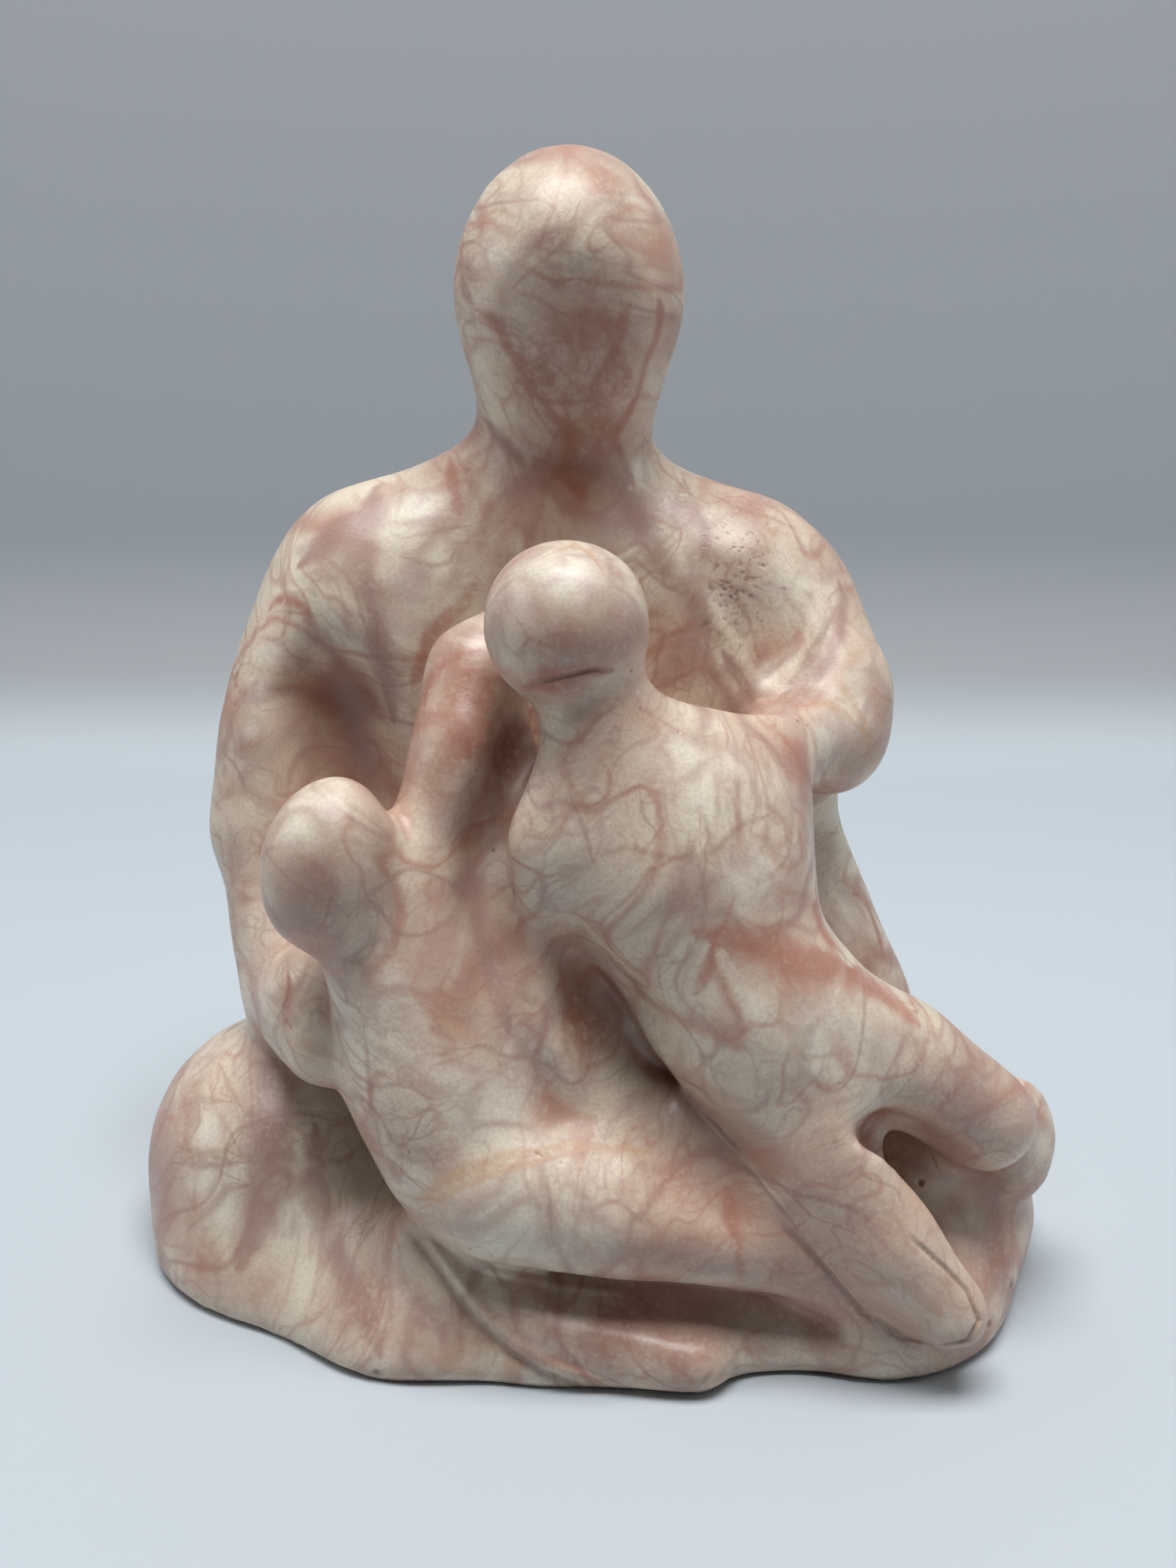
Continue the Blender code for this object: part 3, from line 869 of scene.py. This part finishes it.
def mixHollows(n, at, hue, colour):
    # rust blushes, and rust and deep rust in the hollows and creases of the carving, partly the stone's
    # rust and partly painted shade
    rusty = n.pattern(n.shifted(at["place"], "rusty"), "rusty")
    colour = n.blend(n.both(rusty, markings["rusty"]), colour, hue["rust"])
    sunk = n.ramp(n.attribute("hollow"), *steps["hollow"])
    sunk = n.both(sunk, n.ramp(at["cloudy"], *steps["hollowCloudy"]))
    colour = n.blend(sunk, colour, hue["rust"])
    return n.blend(n.ramp(n.attribute("crease"), *steps["crease"]), colour, hue["deepRust"])


def mixIslandsAndLight(n, at, hue, colour):
    # pale islands, with a lace of thin lines over them; where the chest faces up the pale patches also
    # carry painted light
    pale = n.attribute("palePatch")
    broken = n.ramp(at["broken"], *steps["islandAndLightBroken"])
    islandsAndLight = n.both(n.ramp(pale, *steps["islandAndLight"]), broken, markings["islandAndLight"])
    colour = n.blend(islandsAndLight, colour, hue["milk"])
    lace = n.cells(n.shifted(at["drift"], "lace"), markings["laceScale"])
    inside = n.ramp(pale, *steps["laceInside"])
    broken = n.ramp(at["broken"], *steps["laceBroken"])
    return n.blend(n.both(n.ramp(lace, *steps["lace"]), inside, broken), colour, hue["mauve"])


def mixMarks(n, at, hue, colour):
    # the painted patches, bands and fine veins; some patches on the face plane, the neck front and the
    # lower front are partly painted shade
    finely, broadly = markings["waver"]
    fine = n.both(n.noise(at["place"], *noises["waver"]), finely)
    waver = n.math("ADD", fine, n.both(at["cloudy"], broadly))
    waver = n.math("SUBTRACT", waver, (finely + broadly) / 2)
    mottled = n.both(n.pattern(at["place"], "mottled"), n.ramp(at["broken"], *steps["patchBroken"]))
    for name in ("mauve", "rust"):
        patch = n.both(n.attribute(name + "Patch"), mottled, markings["patch"])
        colour = n.blend(patch, colour, hue[name])
        reach = n.math("ADD", n.attribute(name + "Line"), waver)
        band = n.both(n.ramp(reach, *steps["band"]), n.ramp(at["broken"], *steps["bandBroken"]))
        colour = n.blend(band, colour, hue[name])
        rim = n.ramp(n.math("ABSOLUTE", reach), *steps["rim"])
        rim = n.both(rim, n.ramp(at["cloudy"], *steps["rimCloudy"]))
        colour = n.blend(rim, colour, hue["line"])
    # umber patches: deep rust, partly painted shade on the face plane and the lower front
    umberAndShade = n.both(n.attribute("umberAndShadePatch"), mottled, markings["umberAndShade"])
    colour = n.blend(umberAndShade, colour, hue["deepRust"])
    stray = n.both(n.math("SUBTRACT", at["broken"], middle), markings["veinWaver"])
    faded = n.ramp(at["cloudy"], *steps["veinCloudy"])
    for name, tone, most in markings["fine"]:
        side = n.math("ABSOLUTE", n.math("ADD", n.attribute(name + "Side"), stray))
        near = n.ramp(n.attribute(name + "Gap"), *steps["veinGap"])
        vein = n.both(n.ramp(side, *steps["vein"], most, 0.0), near, faded)
        colour = n.blend(vein, colour, hue[tone])
    return colour


def mixGrain(n, at, hue, colour):
    # dark pits, grain, and the pale specks of the crystals
    colour = n.blend(n.both(n.attribute("pitted"), markings["pit"]), colour, hue["pit"])
    colour = n.blend(n.pattern(at["place"], "grain"), colour, hue["line"])
    cloudy = n.ramp(at["cloudy"], *steps["sugarCloudy"])
    sugar = n.both(n.pattern(at["place"], "sugar"), cloudy, markings["sugar"])
    return n.blend(sugar, colour, hue["milk"])


def makeAlabaster():
    n = Nodes("pinkAlabaster")
    place = n.add("ShaderNodeTexCoord").outputs["Object"]
    drift = n.shifted(place, "drift")
    swirl = n.shifted(drift, "swirl")
    at = {"place": place, "drift": drift, "swirl": swirl}
    at["broken"] = n.noise(swirl, *noises["broken"])
    at["cloudy"] = n.noise(place, *noises["cloudy"])
    hue = {name: linear(colour) for name, colour in hues.items()}
    colour = mixGround(n, at, hue)
    for mix in (mixNet, mixMeanders, mixThreads, mixHollows, mixIslandsAndLight, mixMarks, mixGrain):
        colour = mix(n, at, hue, colour)

    # the scratches of the sanding, which catch the light
    stretch = polish["scratchStretch"]
    sanded = [n.pattern(n.stretched(place, turn, stretch), "scratch") for turn in polish["scratchTurns"]]
    scratch = n.math("MAXIMUM", *sanded)
    scuffed = n.both(scratch, n.pattern(place, "scuffed"), polish["scratch"])
    colour = n.blend(scuffed, colour, hue["milk"])
    uneven = n.noise(place, *noises["height"])
    height = n.math("ADD", uneven, n.both(scratch, polish["scratchHeight"]))
    bump = n.add(
        "ShaderNodeBump", {"Height": height}, Strength=polish["bump"], Distance=polish["bumpHeight"]
    )
    rough = n.pattern(place, "rough")
    finish = n.add(
        "ShaderNodeBsdfPrincipled",
        {"Base Color": colour, "Roughness": rough, "Normal": bump.outputs[0]},
        Subsurface_Weight=polish["glow"],
        Subsurface_Scale=polish["glowDepth"],
        Subsurface_Radius=polish["glowColour"],
        IOR=polish["bending"],
    )
    n.add("ShaderNodeOutputMaterial", {"Surface": finish.outputs[0]})
    return n.material


piece.data.materials.append(makeAlabaster())
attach(piece, "root")
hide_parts(carving["node"])
print("alabaster mixed")

# a sheet of pale card that runs up behind the carving; its upright part is a darker grey, painted shade
# where less light falls
card = {
    "floor": (190, 199, 206),
    "shadedWall": (156, 161, 165),
    "fade": (0.0, 0.045),  # heights between which the floor's tone turns into the upright's painted shade
    "half": 1.2,
    "front": -0.9,
    "bend": 0.42,
    "radius": 0.12,
    "steps": 12,  # facets of the bend
    "height": 1.4,
    "roughness": 0.7,
}


def cardProfile():
    profile = [(card["front"], 0.0), (card["bend"], 0.0)]
    for step in range(1, card["steps"] + 1):
        turn = math.radians(90 * step / card["steps"])
        back, up = math.sin(turn), 1 - math.cos(turn)
        profile.append((card["bend"] + card["radius"] * back, card["radius"] * up))
    profile.append((card["bend"] + card["radius"], card["height"]))
    return profile


def makeCard():
    sheet = bmesh.new()
    line = [sheet.verts.new((-card["half"], y, z)) for y, z in cardProfile()]
    edges = [sheet.edges.new(pair) for pair in zip(line, line[1:])]
    grown = bmesh.ops.extrude_edge_only(sheet, edges=edges)
    moved = [item for item in grown["geom"] if isinstance(item, bmesh.types.BMVert)]
    bmesh.ops.translate(sheet, verts=moved, vec=(2 * card["half"], 0, 0))
    bmesh.ops.recalc_face_normals(sheet, faces=sheet.faces)
    mesh = bpy.data.meshes.new("card")
    sheet.to_mesh(mesh)
    sheet.free()
    for face in mesh.polygons:
        face.use_smooth = True
    floor = bpy.data.objects.new("card", mesh)
    bpy.context.scene.collection.objects.link(floor)
    n = Nodes("paleCard")
    split = n.add("ShaderNodeSeparateXYZ", {0: n.add("ShaderNodeTexCoord").outputs["Object"]})
    tone = n.blend(n.ramp(split.outputs["Z"], *card["fade"]), linear(card["floor"]), linear(card["shadedWall"]))
    paper = n.add("ShaderNodeBsdfPrincipled", {"Base Color": tone}, Roughness=card["roughness"])
    n.add("ShaderNodeOutputMaterial", {"Surface": paper.outputs[0]})
    mesh.materials.append(n.material)


# lamps as (place, aim, width, height, watts)
lamps = {
    "overhead": ((0, -0.23, 1.70), (0, 0, 0), 1.2, 0.65, 32.0),
    "leftSide": ((-0.75, 0.0, 0.45), (0, 0, 0.12), 0.6, 0.6, 1.2),
    "rightSide": ((0.75, 0.0, 0.45), (0, 0, 0.12), 0.6, 0.6, 1.2),
}
surround = {"colour": (200, 208, 216), "strength": 0.03}


def makeLamps():
    for name, (place, aim, width, height, watts) in lamps.items():
        data = bpy.data.lights.new(name, "AREA")
        data.shape = "RECTANGLE"
        data.size = width
        data.size_y = height
        data.energy = watts
        lamp = bpy.data.objects.new(name, data)
        lamp.location = place
        lamp.rotation_euler = (Vector(aim) - Vector(place)).to_track_quat("-Z", "Y").to_euler()
        bpy.context.scene.collection.objects.link(lamp)
    world = bpy.data.worlds.new("surround")
    world.use_nodes = True
    sky = world.node_tree.nodes["Background"]
    sky.inputs["Color"].default_value = linear(surround["colour"])
    sky.inputs["Strength"].default_value = surround["strength"]
    bpy.context.scene.world = world
    bpy.context.scene.view_settings.view_transform = "Standard"


makeCard()
makeLamps()
print("studio lit")
